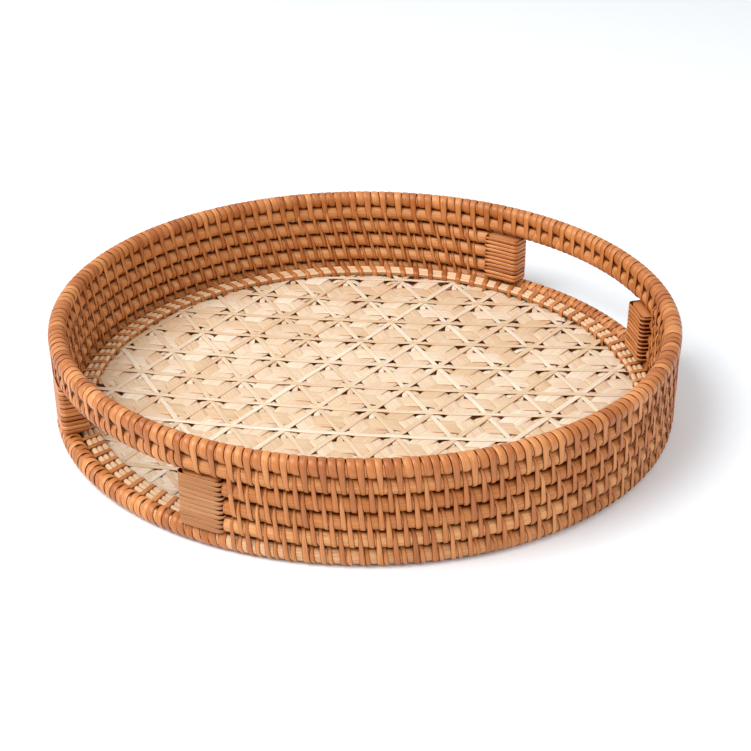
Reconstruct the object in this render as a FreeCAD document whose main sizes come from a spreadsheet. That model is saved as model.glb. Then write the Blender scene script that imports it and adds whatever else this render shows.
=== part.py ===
# Round coiled-rattan serving tray with two hand openings and a star-woven cane panel.
#
# Frame: millimetres, +Z up. The origin is the centre of the tray on the surface it stands on, and
# the X axis runs through the two hand openings. The wall is a stack of round rattan rods. Loops of
# flat rattan peel tie each rod to the next one, and the loops of one row stand between the loops of
# the row below. The openings interrupt the three middle rods.
import FreeCAD, Part
import math
import os
import Sketcher

doc = FreeCAD.newDocument("serving_tray")
sheet = doc.addObject("Spreadsheet::Sheet", "sizes")

# Every driving dimension has one row: alias, value or formula, and what it is.
SIZES = [
    ("wall_radius", "181.5", "centre line of the wall's rods"),
    ("rod_radius", "5.0", "wall rods"),
    ("rod_pitch", "10.6", "from one wall rod's centre to the next"),
    ("rim_radius", "184.7", "centre line of the rim rod, which stands out from the wall"),
    ("rim_rod_radius", "4.7", "rim rod"),
    ("rim_pitch", "9.7", "from the top wall rod's centre up to the rim rod's"),
    ("peel", "0.6", "thickness of the flat rattan peel"),
    ("stitch_width", "2.7", "peel where it ties two rods"),
    ("wrap_width", "4.9", "peel where it only covers a rod"),
    ("loops_per_turn", "110", "loops in one full row"),
    ("base_z", "=rod_radius + peel", "centre of the bottom rod"),
    ("coil_4_z", "=base_z + rod_pitch", "centre of coil 4"),
    ("coil_3_z", "=base_z + 2 * rod_pitch", "centre of coil 3"),
    ("coil_2_z", "=base_z + 3 * rod_pitch", "centre of coil 2"),
    ("coil_1_z", "=base_z + 4 * rod_pitch", "centre of coil 1, under the rim"),
    ("rim_z", "=coil_1_z + rim_pitch", "centre of the rim rod"),
    ("wall_loop", "=rod_radius + peel", "outer radius of a loop round a wall rod"),
    ("rim_loop", "=rim_rod_radius + peel", "outer radius of a loop round the rim rod"),
    ("left_azimuth", "183.7", "middle of the left hand opening, degrees"),
    ("left_half", "17.9", "half the left opening, degrees"),
    ("right_azimuth", "-3.7", "middle of the right hand opening, degrees"),
    ("right_half", "19.0", "half the right opening, degrees"),
    ("post_width", "27", "post beside an opening, along the wall, with its wrapping"),
    ("post_half", "=post_width / 2", "half of that width"),
    ("post_core_half", "=post_half - peel", "half the width of the bare post"),
    ("post_inner", "171", "inner face of a wrapped post, from the axis"),
    ("post_outer", "187", "outer face of a wrapped post, from the axis"),
    ("post_core_inner", "=post_inner + peel", "inner face of the bare post"),
    ("post_core_outer", "=post_outer - peel", "outer face of the bare post"),
    ("post_corner", "2.6", "outer corner radius of a wrapped post"),
    ("post_core_corner", "=post_corner - peel", "corner radius of the bare post"),
    ("post_turns", "11", "turns of peel on a post"),
    ("post_low", "=base_z + wall_loop", "foot of a post"),
    ("post_high", "=coil_1_z - wall_loop", "head of a post"),
    ("post_height", "=post_high - post_low", "length of a post"),
    ("post_turn_pitch", "=post_height / post_turns", "from one turn of its peel to the next"),
    ("panel_radius", "175.9", "cut edge of the woven panel"),
    ("panel_z", "2", "underside of the woven panel"),
    ("layer", "0.3", "thickness drawn for each layer of cane strips"),
    ("star_row", "31.6", "from one row of stars to the next"),
    ("star_half", "=star_row / sqrt(3)", "half the distance from one star to the next in a row"),
    ("star_x", "-5.3", "the star nearest the middle of the panel"),
    ("star_y", "7.3", "the same star"),
    ("wide_strip", "11.8", "wide cane strips"),
    ("star_strip", "3.4", "narrow cane strips along the rows of stars"),
    ("cross_strip", "3.2", "narrow cane strips across the rows of stars"),
    ("weave_turn", "-42.9", "direction of the first row of stars, degrees"),
    ("cane_radius", "1.3", "round canes that cover the panel's edge"),
    ("cane_pitch", "2.8", "from one edge cane to the next"),
    ("cane_inner", "169.0", "centre line of the innermost edge cane"),
    ("cane_z", "=panel_z + 9 * layer + cane_radius", "centre of the edge canes"),
    ("lash_inner", "=cane_inner - cane_radius - peel", "inner face of a lashing, from the axis"),
    ("lash_top", "=cane_z + cane_radius + peel", "top of a lashing over the edge canes"),
    ("lash_bore", "=lash_inner + peel", "inside of a lashing's inner face"),
    ("lash_roof", "=lash_top - peel", "underside of a lashing's top"),
    ("under_outer", "=wall_radius - rod_radius", "outer edge of the flat cane under the panel"),
]

for row, (alias, value, note) in enumerate(SIZES, start=1):
    sheet.set(f"A{row}", note)
    sheet.set(f"B{row}", value)
    sheet.setAlias(f"B{row}", alias)
doc.recompute()

LOOP_STEP = 360.0 / int(sheet.loops_per_turn)  # degrees from one loop of a row to the next
ROW_SHIFT = 0.38 * LOOP_STEP  # each row of loops stands this far round from the row above
X_AXIS = FreeCAD.Vector(1, 0, 0)
Z_AXIS = FreeCAD.Vector(0, 0, 1)
parts = []  # every sub-part, in the order in which a maker would pick it up


def size(alias):
    """The present value of one cell of the sheet."""
    return float(getattr(sheet, alias))


def bind(thing, **rules):
    """Ties properties of a document object to cells or formulas of the sheet."""
    for name, rule in rules.items():
        thing.setExpression(name, rule)


def cell(rule):
    """A cell's full name, as expressions outside the sheet write it."""
    return f"<<sizes>>.{rule}"


def add_part(thing, label, turn=0.0):
    """Keeps a finished sub-part, named and turned about the tray's axis."""
    thing.Label = label
    thing.Placement = FreeCAD.Placement(thing.Placement.Base, FreeCAD.Rotation(Z_AXIS, turn))
    parts.append(thing)


def origin_item(body, role):
    """One of a body's own planes or axes."""
    return next(item for item in body.Origin.OriginFeatures if item.Role == role)


def new_sketch(body, plane):
    """An empty sketch on one of the body's own planes."""
    sketch = body.newObject("Sketcher::SketchObject", "Profile")
    sketch.AttachmentSupport = [(origin_item(body, plane), "")]
    sketch.MapMode = "FlatFace"
    return sketch


def fix(sketch, kind, geometry, point, alias, below=False):
    """Holds a point of a sketch at the distance from the origin that a cell gives."""
    ends = (geometry, point, -1, 1) if below else (-1, 1, geometry, point)
    rule = Sketcher.Constraint(kind, *ends, size(alias))
    sketch.setExpression(f"Constraints[{sketch.addConstraint(rule)}]", cell(alias))


def fix_radius(sketch, arc, alias):
    rule = Sketcher.Constraint("Radius", arc, size(alias))
    sketch.setExpression(f"Constraints[{sketch.addConstraint(rule)}]", cell(alias))


def draw_belt(sketch, lower, upper):
    """Draws a belt round two circles, each given as three cells: distance, height and radius."""
    (x1, z1, r1), (x2, z2, r2) = [[size(alias) for alias in circle] for circle in (lower, upper)]
    lean = math.atan2(z2 - z1, x2 - x1)
    open_angle = math.acos((r1 - r2) / math.hypot(x2 - x1, z2 - z1))
    right, left = lean - open_angle, lean + open_angle
    low = Part.Circle(FreeCAD.Vector(x1, z1, 0), Z_AXIS, r1)
    high = Part.Circle(FreeCAD.Vector(x2, z2, 0), Z_AXIS, r2)
    low_arc = sketch.addGeometry(Part.ArcOfCircle(low, left, right + 2 * math.pi))
    right_side = sketch.addGeometry(Part.LineSegment(low.value(right), high.value(right)))
    high_arc = sketch.addGeometry(Part.ArcOfCircle(high, right, left))
    left_side = sketch.addGeometry(Part.LineSegment(high.value(left), low.value(left)))
    outline = [low_arc, right_side, high_arc, left_side]
    for one, following in zip(outline, outline[1:] + outline[:1]):
        sketch.addConstraint(Sketcher.Constraint("Tangent", one, 2, following, 1))
    for arc, (x, z, r) in ((low_arc, lower), (high_arc, upper)):
        fix(sketch, "DistanceX", arc, 3, x)
        fix(sketch, "DistanceY", arc, 3, z)
        fix_radius(sketch, arc, r)


def draw_circle(sketch, x, z, r):
    """Draws a circle given as three cells."""
    centre = FreeCAD.Vector(size(x), size(z), 0)
    circle = sketch.addGeometry(Part.Circle(centre, Z_AXIS, size(r)))
    fix(sketch, "DistanceX", circle, 3, x)
    fix(sketch, "DistanceY", circle, 3, z)
    fix_radius(sketch, circle, r)


def pad_row(body, sketch, width, count):
    """Pads one loop to both sides of its sketch and repeats it round the tray's axis."""
    pad = body.newObject("PartDesign::Pad", "Loop")
    pad.Profile = sketch
    pad.SideType = "Symmetric"
    bind(pad, Length=cell(width))
    doc.recompute()
    row = body.newObject("PartDesign::PolarPattern", "Row")
    row.Originals = [pad]
    row.Axis = (origin_item(body, "Z_Axis"), [""])
    row.Refine = False
    row.Occurrences = count
    row.Angle = 360.0 if count == int(size("loops_per_turn")) else (count - 1) * LOOP_STEP
    body.Tip = row


def stitch_row(label, lower, upper, start, count):
    """A row of closed loops of peel, each round two neighbouring rods."""
    body = doc.addObject("PartDesign::Body", label)
    sketch = new_sketch(body, "XZ_Plane")
    for radius_alias in ("outer", "inner"):
        circles = [(x, z, r[radius_alias]) for x, z, r in (lower, upper)]
        draw_belt(sketch, *circles)
    pad_row(body, sketch, "stitch_width", count)
    add_part(body, label, start)


def wrap_row(label, rod, start, count):
    """A row of short loops of peel round one rod."""
    x, z, r = rod
    body = doc.addObject("PartDesign::Body", label)
    sketch = new_sketch(body, "XZ_Plane")
    draw_circle(sketch, x, z, r["outer"])
    draw_circle(sketch, x, z, r["inner"])
    pad_row(body, sketch, "wrap_width", count)
    add_part(body, label, start)


def rod(label, radius, height, thickness, start=0.0, sweep=360.0):
    """A round rod bent to the tray's circle, or to an arc of it."""
    torus = doc.addObject("Part::Torus", label)
    bind(torus, Radius1=cell(radius), Radius2=cell(thickness))
    bind(torus, **{"Placement.Base.z": cell(height)})
    torus.Angle3 = sweep
    doc.recompute()
    add_part(torus, label, start)


WALL_RADII = {"outer": "wall_loop", "inner": "rod_radius"}
RIM_RADII = {"outer": "rim_loop", "inner": "rim_rod_radius"}
RIM = ("rim_radius", "rim_z", RIM_RADII)
COIL_1 = ("wall_radius", "coil_1_z", WALL_RADII)
COIL_2 = ("wall_radius", "coil_2_z", WALL_RADII)
COIL_3 = ("wall_radius", "coil_3_z", WALL_RADII)
COIL_4 = ("wall_radius", "coil_4_z", WALL_RADII)
BASE = ("wall_radius", "base_z", WALL_RADII)

# Where the posts and the two stretches of full wall begin and end, in degrees.
POST_SPAN = math.degrees(size("post_width") / size("wall_radius"))
EDGES = {
    side: (size(f"{side}_azimuth") - size(f"{side}_half"), size(f"{side}_azimuth") + size(f"{side}_half"))
    for side in ("left", "right")
}
WALLS = {
    "back": (EDGES["right"][1] + POST_SPAN, EDGES["left"][0] - POST_SPAN),
    "front": (EDGES["left"][1] + POST_SPAN, EDGES["right"][0] - POST_SPAN + 360),
}
POSTS = {
    "left_back": EDGES["left"][0] - POST_SPAN / 2,
    "left_front": EDGES["left"][1] + POST_SPAN / 2,
    "right_front": EDGES["right"][0] - POST_SPAN / 2,
    "right_back": EDGES["right"][1] + POST_SPAN / 2,
}


def loops_between(first, last, phase):
    """The first loop of a row at or after one azimuth, and how many fit before the other."""
    edge = math.degrees(size("stitch_width") / 2 / size("wall_radius"))
    start = phase + math.ceil((first + edge - phase) / LOOP_STEP) * LOOP_STEP
    return start, int((last - edge - start) / LOOP_STEP) + 1


def rods():
    """The rim, the two unbroken wall rods, and the three that the hand openings interrupt."""
    rod("rim_rod", "rim_radius", "rim_z", "rim_rod_radius")
    rod("coil_1_rod", "wall_radius", "coil_1_z", "rod_radius")
    rod("base_rod", "wall_radius", "base_z", "rod_radius")
    for number in (2, 3, 4):
        for wall, (first, last) in WALLS.items():
            label = f"coil_{number}_rod_{wall}"
            rod(label, "wall_radius", f"coil_{number}_z", "rod_radius", first, last - first)


def stitches():
    """The rows of peel loops, from the rim down to the bottom rod."""
    turn = int(size("loops_per_turn"))
    stitch_row("rim_stitches", COIL_1, RIM, 0.0, turn)
    wrap_row("rim_wraps", RIM, LOOP_STEP / 2, turn)
    rows = [("1_2", COIL_2, COIL_1), ("2_3", COIL_3, COIL_2), ("3_4", COIL_4, COIL_3), ("4_base", BASE, COIL_4)]
    for row, (name, lower, upper) in enumerate(rows, start=1):
        for wall, (first, last) in WALLS.items():
            start, count = loops_between(first, last, row * ROW_SHIFT)
            stitch_row(f"stitches_{name}_{wall}", lower, upper, start, count)


def opening_wraps():
    """Short wraps that cover the two bare rods along each hand opening, between their loops."""
    for side, (first, last) in EDGES.items():
        for name, coil in (("coil_1", COIL_1), ("base", BASE)):
            start, count = loops_between(first, last, LOOP_STEP / 2)
            wrap_row(f"{name}_wraps_{side}", coil, start, count)


def draw_frame(sketch, x_low, x_high, y_half, corner):
    """Draws a rectangle with round corners, given as four cells: two distances, half width, radius."""
    low, high, half, r = [size(alias) for alias in (x_low, x_high, y_half, corner)]
    centres = [(low + r, -half + r), (high - r, -half + r), (high - r, half - r), (low + r, half - r)]
    arcs = []
    for quarter, (x, y) in enumerate(centres):
        start = math.radians(180 + 90 * quarter)
        circle = Part.Circle(FreeCAD.Vector(x, y, 0), Z_AXIS, r)
        arcs.append(sketch.addGeometry(Part.ArcOfCircle(circle, start, start + math.pi / 2)))
    sides = []
    for one, following in zip(arcs, arcs[1:] + arcs[:1]):
        line = Part.LineSegment(sketch.Geometry[one].EndPoint, sketch.Geometry[following].StartPoint)
        side = sketch.addGeometry(line)
        sketch.addConstraint(Sketcher.Constraint("Tangent", one, 2, side, 1))
        sketch.addConstraint(Sketcher.Constraint("Tangent", side, 2, following, 1))
        sides.append(side)
    for side, direction in zip(sides, ("Horizontal", "Vertical", "Horizontal", "Vertical")):
        sketch.addConstraint(Sketcher.Constraint(direction, side))
    for arc in arcs[1:]:
        sketch.addConstraint(Sketcher.Constraint("Equal", arcs[0], arc))
    fix_radius(sketch, arcs[0], corner)
    fix(sketch, "DistanceX", sides[1], 1, x_high)
    fix(sketch, "DistanceX", sides[3], 1, x_low)
    fix(sketch, "DistanceY", sides[2], 1, y_half)
    fix(sketch, "DistanceY", sides[0], 1, y_half, below=True)


def post_core(label, azimuth):
    """The upright block that holds the cut ends of the three middle rods."""
    body = doc.addObject("PartDesign::Body", label)
    sketch = new_sketch(body, "XY_Plane")
    draw_frame(sketch, "post_core_inner", "post_core_outer", "post_core_half", "post_core_corner")
    bind(sketch, **{"AttachmentOffset.Base.z": cell("post_low")})
    pad = body.newObject("PartDesign::Pad", "Post")
    pad.Profile = sketch
    bind(pad, Length=cell("post_height"))
    body.Tip = pad
    add_part(body, label, azimuth)


def post_wrap(label, azimuth):
    """The turns of flat peel that cover a post, one above the other."""
    body = doc.addObject("PartDesign::Body", label)
    sketch = new_sketch(body, "XY_Plane")
    draw_frame(sketch, "post_inner", "post_outer", "post_half", "post_corner")
    draw_frame(sketch, "post_core_inner", "post_core_outer", "post_core_half", "post_core_corner")
    bind(sketch, **{"AttachmentOffset.Base.z": cell("post_low")})
    pad = body.newObject("PartDesign::Pad", "Turn")
    pad.Profile = sketch
    bind(pad, Length=f"0.96 * {cell('post_turn_pitch')}")
    doc.recompute()
    turns = body.newObject("PartDesign::LinearPattern", "Turns")
    turns.Originals = [pad]
    turns.Direction = (origin_item(body, "Z_Axis"), [""])
    turns.Refine = False
    turns.Occurrences = int(size("post_turns"))
    bind(turns, Length=f"{cell('post_height')} - {cell('post_turn_pitch')}")
    body.Tip = turns
    add_part(body, label, azimuth)


def posts():
    """The four posts beside the hand openings, each a block and its wrapping."""
    for place, azimuth in POSTS.items():
        post_core(f"post_core_{place}", azimuth)
        post_wrap(f"post_wrap_{place}", azimuth)


def draw_lashing(sketch, inner, top, radius):
    """Draws a loop round the bottom rod and the panel's edge, with a flat underside."""
    x, z, r = size("wall_radius"), size("base_z"), size(radius)
    low, high = z - r, size(top)
    meet = math.pi - math.asin((high - z) / r)  # where the loop's flat top meets the rod's round
    circle = Part.Circle(FreeCAD.Vector(x, z, 0), Z_AXIS, r)
    round_side = sketch.addGeometry(Part.ArcOfCircle(circle, -math.pi / 2, meet))
    points = [circle.value(meet), (size(inner), high, 0), (size(inner), low, 0), (x, low, 0)]
    points = [FreeCAD.Vector(*point) for point in points]
    lines = [sketch.addGeometry(Part.LineSegment(a, b)) for a, b in zip(points, points[1:])]
    for one, following in zip([round_side] + lines[:2], lines):
        sketch.addConstraint(Sketcher.Constraint("Coincident", one, 2, following, 1))
    sketch.addConstraint(Sketcher.Constraint("Tangent", lines[2], 2, round_side, 1))
    for line, direction in zip(lines, ("Horizontal", "Vertical", "Horizontal")):
        sketch.addConstraint(Sketcher.Constraint(direction, line))
    fix(sketch, "DistanceX", round_side, 3, "wall_radius")
    fix(sketch, "DistanceY", round_side, 3, "base_z")
    fix_radius(sketch, round_side, radius)
    fix(sketch, "DistanceX", lines[1], 1, inner)
    fix(sketch, "DistanceY", lines[0], 2, top)


def panel_edge():
    """The canes that clamp the woven panel's edge, and the lashings that tie them to the bottom rod."""
    for number, name in enumerate(("inner", "middle", "outer")):
        cane = doc.addObject("Part::Torus", f"edge_cane_{name}")
        radius = f"{cell('cane_inner')} + {number} * {cell('cane_pitch')}"
        bind(cane, Radius1=radius, Radius2=cell("cane_radius"))
        bind(cane, **{"Placement.Base.z": cell("cane_z")})
        add_part(cane, f"edge_cane_{name}")
    outside = doc.addObject("Part::Cylinder", "UnderOutside")
    bind(outside, Radius=cell("under_outer"), Height=f"{cell('panel_z')} - {cell('peel')}")
    inside = doc.addObject("Part::Cylinder", "UnderInside")
    bind(inside, Radius=cell("lash_bore"), Height=cell("panel_z"))
    under = doc.addObject("Part::Cut", "edge_cane_under")
    under.Base = outside
    under.Tool = inside
    bind(under, **{"Placement.Base.z": cell("peel")})
    add_part(under, "edge_cane_under")
    body = doc.addObject("PartDesign::Body", "panel_lashings")
    sketch = new_sketch(body, "XZ_Plane")
    draw_lashing(sketch, "lash_inner", "lash_top", "wall_loop")
    draw_lashing(sketch, "lash_bore", "lash_roof", "rod_radius")
    pad_row(body, sketch, "stitch_width", int(size("loops_per_turn")))
    add_part(body, "panel_lashings")


def strip_layer(label, level, turn, width, spacing, phase):
    """One layer of parallel cane strips, cut to the panel's circle and turned to its direction."""
    reach = size("panel_radius")
    strips = []
    for number in range(math.ceil((-reach - phase) / spacing), math.floor((reach - phase) / spacing) + 1):
        strip = doc.addObject("Part::Box", "Strip")
        bind(strip, Length=f"2 * {cell('panel_radius')}", Width=cell(width), Height=cell("layer"))
        strip.Placement.Base = FreeCAD.Vector(-reach, phase + number * spacing - size(width) / 2, 0)
        strips.append(strip)
    sheet_of_strips = doc.addObject("Part::Compound", "Strips")
    sheet_of_strips.Links = strips
    disc = doc.addObject("Part::Cylinder", "Disc")
    bind(disc, Radius=cell("panel_radius"), Height=cell("layer"))
    cut = doc.addObject("Part::Common", label)
    cut.Base = sheet_of_strips
    cut.Tool = disc
    bind(cut, **{"Placement.Base.z": f"{cell('panel_z')} + {level} * {cell('layer')}"})
    doc.recompute()
    add_part(cut, label, turn)


def panel():
    """The woven panel: three sets of wide strips, and six of narrow ones that cross at every star."""
    row, half = size("star_row"), size("star_half")
    for number, name in enumerate("abc"):
        turn = size("weave_turn") + 60 * number
        along = FreeCAD.Vector(math.cos(math.radians(turn)), math.sin(math.radians(turn)), 0)
        star = FreeCAD.Vector(size("star_x"), size("star_y"), 0)
        aside = star.dot(Z_AXIS.cross(along))
        strip_layer(f"wide_strips_{name}", number, turn, "wide_strip", row, aside + row / 2)
        strip_layer(f"star_strips_{name}", 3 + number, turn, "star_strip", row, aside)
        strip_layer(f"cross_strips_{name}", 6 + number, turn - 90, "cross_strip", half, star.dot(along))


rods()
stitches()
opening_wraps()
posts()
panel_edge()
panel()
doc.recompute()

for thing in doc.Objects:
    if {"Invalid", "Error"} & set(thing.State):
        raise RuntimeError(f"{thing.Label} could not be built: {thing.State}")
for thing in parts:
    if thing.Shape.isNull() or not thing.Shape.isValid():
        raise RuntimeError(f"{thing.Label} has no valid shape")

os.makedirs("parts", exist_ok=True)
for thing in parts:
    thing.Shape.exportStep(f"parts/{thing.Label}.step")
    solids = len(thing.Shape.Solids)
    print(f"{thing.Label}: {solids} solid{'s' if solids > 1 else ''}, {thing.Shape.Volume:.0f} mm3")
print(len(parts), "sub-parts")
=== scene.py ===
# %% [markdown]
# # A coiled rattan serving tray
# The tray is basketry. Round rattan rods lie one on another, and flat strips of rattan peel wind
# round them in rows and hold them together. The floor is a sheet of split cane, woven as stars.
# Nearly every piece is a strip that follows a path, so one function makes them all, and each cell
# below only works out where its strips go.
#
# The model comes first. Its boxes give every driving size, and its pieces are replaced one by one.

# %% Load the frame
import bpy
import math
import numpy as np
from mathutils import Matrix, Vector


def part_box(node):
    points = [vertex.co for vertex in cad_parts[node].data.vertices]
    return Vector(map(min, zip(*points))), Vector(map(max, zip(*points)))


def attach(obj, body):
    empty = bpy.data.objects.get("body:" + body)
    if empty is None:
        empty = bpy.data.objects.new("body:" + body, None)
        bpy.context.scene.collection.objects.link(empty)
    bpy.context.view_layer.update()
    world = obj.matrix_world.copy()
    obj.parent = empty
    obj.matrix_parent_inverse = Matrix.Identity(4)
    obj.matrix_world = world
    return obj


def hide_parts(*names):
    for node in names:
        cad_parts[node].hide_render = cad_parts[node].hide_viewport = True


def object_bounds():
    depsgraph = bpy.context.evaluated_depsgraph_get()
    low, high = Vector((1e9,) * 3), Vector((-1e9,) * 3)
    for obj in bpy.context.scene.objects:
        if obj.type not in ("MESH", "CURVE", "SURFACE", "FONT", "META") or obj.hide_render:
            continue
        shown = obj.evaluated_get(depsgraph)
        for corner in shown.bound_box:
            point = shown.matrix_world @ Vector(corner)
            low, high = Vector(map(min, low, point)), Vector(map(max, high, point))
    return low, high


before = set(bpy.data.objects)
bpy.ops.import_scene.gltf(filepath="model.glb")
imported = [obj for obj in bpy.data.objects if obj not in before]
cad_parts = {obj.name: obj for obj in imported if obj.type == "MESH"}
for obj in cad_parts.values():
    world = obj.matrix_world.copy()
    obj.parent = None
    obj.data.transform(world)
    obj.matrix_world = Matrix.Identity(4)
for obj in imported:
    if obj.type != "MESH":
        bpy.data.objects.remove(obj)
cad_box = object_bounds()
MM = 0.001
dice = np.random.default_rng(7)
print("CAD nodes:", len(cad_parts))

# %% [markdown]
# ## Sizes, read from the model
# A rod's box gives its thickness and the radius of its ring. The difference between the rim's box
# with and without its wrapping gives the thickness of the peel. The posts give the places of the
# two hand openings. The real wall stands a little further out than the model's, nearly flush with
# the rim, so its radius is set right here, and all that belongs to the wall follows from it.

# %% Read the sizes
TURN = 110  # loops of peel in one full row
OUTWARD = 2.6 * MM  # the wall stands this much further out than the model has it
POST_WIDTH = 27 * MM  # along the wall


def ring(node):
    """A round rod's ring radius, height and own radius, in metres, from its box."""
    low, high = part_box(node)
    thick = (high.z - low.z) / 2
    return high.x - thick, (high.z + low.z) / 2, thick


def azimuth(node):
    """Where a node stands round the tray, in degrees."""
    low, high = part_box(node)
    return math.degrees(math.atan2(low.y + high.y, low.x + high.x))


rim_r, rim_z, rim_rod = ring("rim_rod")
wall_r, coil_1_z, wall_rod = ring("coil_1_rod")
base_z = ring("base_rod")[1]
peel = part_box("rim_wraps")[1].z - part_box("rim_rod")[1].z
pitch = (coil_1_z - base_z) / 4
wall_r += OUTWARD
coils = [(rim_r, rim_z, rim_rod)]
coils += [(wall_r, coil_1_z - step * pitch, wall_rod) for step in range(5)]
step_deg = 360 / TURN
post_deg = math.degrees(POST_WIDTH / wall_r)
posts = {name: azimuth(f"post_core_{name}") % 360 for name in
         ("left_back", "left_front", "right_front", "right_back")}
openings = {
    "left": (posts["left_back"] + post_deg / 2, posts["left_front"] - post_deg / 2),
    "right": (posts["right_front"] + post_deg / 2 - 360, posts["right_back"] - post_deg / 2),
}
walls = {
    "back": (posts["right_back"] + post_deg / 2, posts["left_back"] - post_deg / 2),
    "front": (posts["left_front"] + post_deg / 2, posts["right_front"] - post_deg / 2),
}
print(f"wall radius {wall_r / MM:.1f} mm, rim radius {rim_r / MM:.1f} mm, peel {peel / MM:.2f} mm")
print("openings:", openings, "walls:", walls)

# %% [markdown]
# ## Materials
# Rattan peel is the glossy skin of the vine, split into flat strips. Rattan core is the duller wood under
# it. Split cane is the same core cut thin, and pale. All three are bundles of fibres, so each surface has
# fine lines that run along it. Every mesh below carries an attribute, `strip`, with the distance across the
# strip and along it in millimetres and one random number for each strip, so a pattern can follow the strip
# round every bend. A second one, `edge`, runs from 0 in the middle of a strip to 1 at its edge, and beyond
# on its underside, and the materials paint shade there: the grooves between turns and rods, and the
# undersides, are drawn darker as if out of the light.

# %% Small helpers for materials


def linear(hex_colour):
    """An sRGB hex colour as linear red, green, blue and alpha."""
    parts = [int(hex_colour[i:i + 2], 16) / 255 for i in (1, 3, 5)]
    return [p / 12.92 if p <= 0.04045 else ((p + 0.055) / 1.055) ** 2.4 for p in parts] + [1.0]


def add(tree, kind, settings=None, **links):
    """Adds a node. A link's name is a socket's name or number, and its value a socket or a constant."""
    node = tree.nodes.new(kind)
    for key, value in (settings or {}).items():
        setattr(node, key, value)
    for key, value in links.items():
        name = key.replace("_", " ")
        socket = node.inputs[int(key[1:])] if key[1:].isdigit() else node.inputs[name]
        if isinstance(value, bpy.types.NodeSocket):
            tree.links.new(value, socket)
        else:
            socket.default_value = value
    return node


def ramp(tree, fac, stops):
    """A colour ramp with its stops given as position and hex colour."""
    node = add(tree, "ShaderNodeValToRGB", Fac=fac)
    elements = node.color_ramp.elements
    while len(elements) < len(stops):
        elements.new(0.5)
    for element, (position, colour) in zip(elements, stops):
        element.position = position
        element.color = linear(colour)
    return node.outputs["Color"]


def mix(tree, fac, a, b, blend="MIX"):
    """Mixes two colours."""
    node = add(tree, "ShaderNodeMix", {"data_type": "RGBA", "blend_type": blend}, i0=fac, i6=a, i7=b)
    return node.outputs[2]


def maths(tree, operation, *values):
    """One sum on numbers or sockets."""
    links = {f"i{number}": value for number, value in enumerate(values)}
    return add(tree, "ShaderNodeMath", {"operation": operation}, **links).outputs[0]


def fibre_material(name, tones, edge, fibre_mm, run_mm, rough, bump, fleck,
                   patch_mm=22, glow=0.0, crown=0.0, shine=0.4):
    """Rattan of any kind: a tone for each strip, fibres along it, patches, and painted shade at its edges.

    A fibre is fibre_mm wide and run_mm long, and fleck is the darkest that it gets. The edge is the colour
    of the painted shade that darkens the strip towards its edges and on its underside, and how far out from
    the middle that shade starts. Bump and crown are in millimetres: the depth of the fibres, and how much
    rounder the strip is shaded than its mesh.
    """
    material = bpy.data.materials.new(name)
    material.use_nodes = True
    tree = material.node_tree
    tree.nodes.clear()
    strip = add(tree, "ShaderNodeAttribute", {"attribute_name": "strip"}).outputs["Vector"]
    axes = add(tree, "ShaderNodeSeparateXYZ", Vector=strip).outputs
    across, along, chance = axes["X"], axes["Y"], axes["Z"]
    fibre_at = add(tree, "ShaderNodeCombineXYZ", X=maths(tree, "MULTIPLY", across, 1 / fibre_mm),
                   Y=maths(tree, "MULTIPLY", along, 1 / run_mm),
                   Z=maths(tree, "MULTIPLY", chance, 3.0)).outputs[0]
    fibre = add(tree, "ShaderNodeTexNoise", Vector=fibre_at, Scale=1.0, Detail=3.0).outputs["Fac"]

    # colour: most of it differs from strip to strip, and some from patch to patch
    place = add(tree, "ShaderNodeTexCoord").outputs["Object"]
    patch = add(tree, "ShaderNodeTexNoise", Vector=place, Scale=1000 / patch_mm, Detail=2.0).outputs["Fac"]
    tone = maths(tree, "ADD", maths(tree, "MULTIPLY", chance, 0.6), maths(tree, "MULTIPLY", patch, 0.4))
    colour = ramp(tree, tone, tones)
    dark = ramp(tree, fibre, [(0.3, fleck), (0.62, "#FFFFFF")])
    colour = mix(tree, 0.55, colour, dark, "MULTIPLY")

    # painted shade, from where it starts out to the edge and on the underside, where the grooves between
    # turns and rods and the undersides would lie in shade
    edge_shade_colour, edge_start = edge
    outward = add(tree, "ShaderNodeAttribute", {"attribute_name": "edge"}).outputs["Fac"]
    edge_shade = add(tree, "ShaderNodeMapRange", {"interpolation_type": "SMOOTHSTEP"}, Value=outward,
                From_Min=edge_start, From_Max=1.0).outputs[0]
    colour = mix(tree, edge_shade, colour, linear(edge_shade_colour))

    # surface: raised fibres are smoother than the grooves between them, and the edges under painted shade
    # are dull
    gloss = add(tree, "ShaderNodeMapRange", Value=fibre, To_Min=rough + 0.1, To_Max=rough - 0.08).outputs[0]
    swell = maths(tree, "MULTIPLY", maths(tree, "MULTIPLY", outward, outward), -crown / bump)
    relief = add(tree, "ShaderNodeBump", Height=maths(tree, "ADD", fibre, swell), Strength=1.0,
                 Distance=bump * MM).outputs[0]
    sheen = maths(tree, "MULTIPLY", maths(tree, "SUBTRACT", 1.0, edge_shade), shine)
    shader = add(tree, "ShaderNodeBsdfPrincipled", Base_Color=colour, Roughness=gloss, Normal=relief,
                 IOR=1.5, Specular_IOR_Level=sheen)
    if glow:  # thin cane lets warm light through
        shader.inputs["Subsurface Weight"].default_value = glow
        shader.inputs["Subsurface Radius"].default_value = (1.0, 0.42, 0.16)
        shader.inputs["Subsurface Scale"].default_value = 0.9 * MM
    add(tree, "ShaderNodeOutputMaterial", Surface=shader.outputs[0])
    print("material:", name)
    return material
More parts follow.
